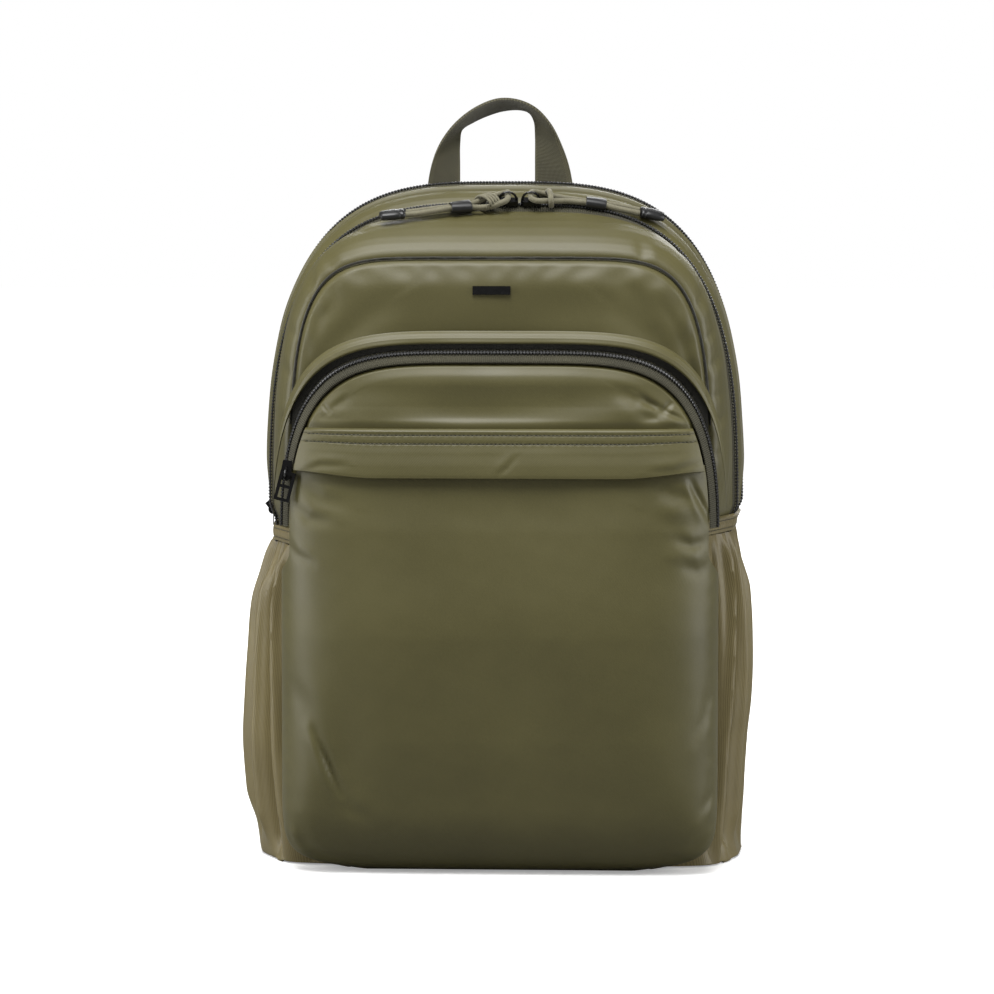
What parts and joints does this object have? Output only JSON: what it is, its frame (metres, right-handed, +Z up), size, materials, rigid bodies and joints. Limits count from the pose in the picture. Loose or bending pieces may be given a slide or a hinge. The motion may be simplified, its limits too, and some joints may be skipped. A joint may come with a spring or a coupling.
{
  "type": "laptop backpack",
  "caption": "Soft nylon laptop backpack with an arched zip front pocket, stretch side pockets, a webbing haul handle, padded shoulder straps and cord zip pulls.",
  "frame": {"origin": "centre of the flat underside of the base, midway between the back face and the front seam", "axes": "+Z up, the front faces -Y, +X is the viewer's right; +X is across the bag"},
  "size_m": [0.3322, 0.2041, 0.4959],
  "materials": {
    "nylon": "satin twill nylon, olive",
    "nylon_dark": "matt padded nylon, dark olive",
    "stretch": "fine stretch knit, light olive",
    "webbing": "woven webbing, grey olive",
    "zip_tape": "knitted zip tape with a dark coil",
    "cord": "braided cord, pale olive",
    "black_metal": "black gloss coating",
    "black_plastic": "satin black",
    "black_rubber": "matt black"
  },
  "bodies": {
    "bag": {"back_panel": "nylon_dark", "rear_gusset": "nylon", "rear_zip": "zip_tape", "mid_gusset": "nylon", "main_zip": "zip_tape", "front_gusset": "nylon", "side_base_panel": "nylon_dark", "front_panel": "nylon", "pocket_zip": "zip_tape", "pocket_lip": "nylon", "pocket_upper": "nylon", "pocket_flap": "nylon", "pocket_lower": "nylon", "side_pocket_left": "stretch", "side_pocket_right": "stretch", "pocket_hem_left": "stretch", "pocket_hem_right": "stretch", "haul_handle": "webbing", "strap_yoke": "nylon_dark", "shoulder_strap_left": "nylon_dark", "shoulder_strap_right": "nylon_dark", "strap_buckle_left": "black_plastic", "strap_buckle_right": "black_plastic", "strap_webbing_left": "webbing", "strap_webbing_right": "webbing", "strap_anchor_left": "nylon_dark", "strap_anchor_right": "nylon_dark", "main_slider_left": "black_metal", "main_slider_right": "black_metal", "rear_slider": "black_metal", "pocket_slider": "black_metal", "cord_pull_left": "cord", "cord_pull_right": "cord", "cord_sleeve_left": "black_rubber", "cord_sleeve_right": "black_rubber", "cord_cap_left": "black_plastic", "cord_cap_right": "black_plastic", "badge_bar": "black_metal"},
    "tab": {"pull_tab": "black_metal"}
  },
  "joints": [
    {"name": "pull_tab_swing", "type": "hinge", "parent": "bag", "child": "tab", "pos_m": [-0.1333, -0.06951, 0.2562], "axis": [0.9699, -0.0118, -0.243], "range_deg": [-80, 0]}
  ]
}
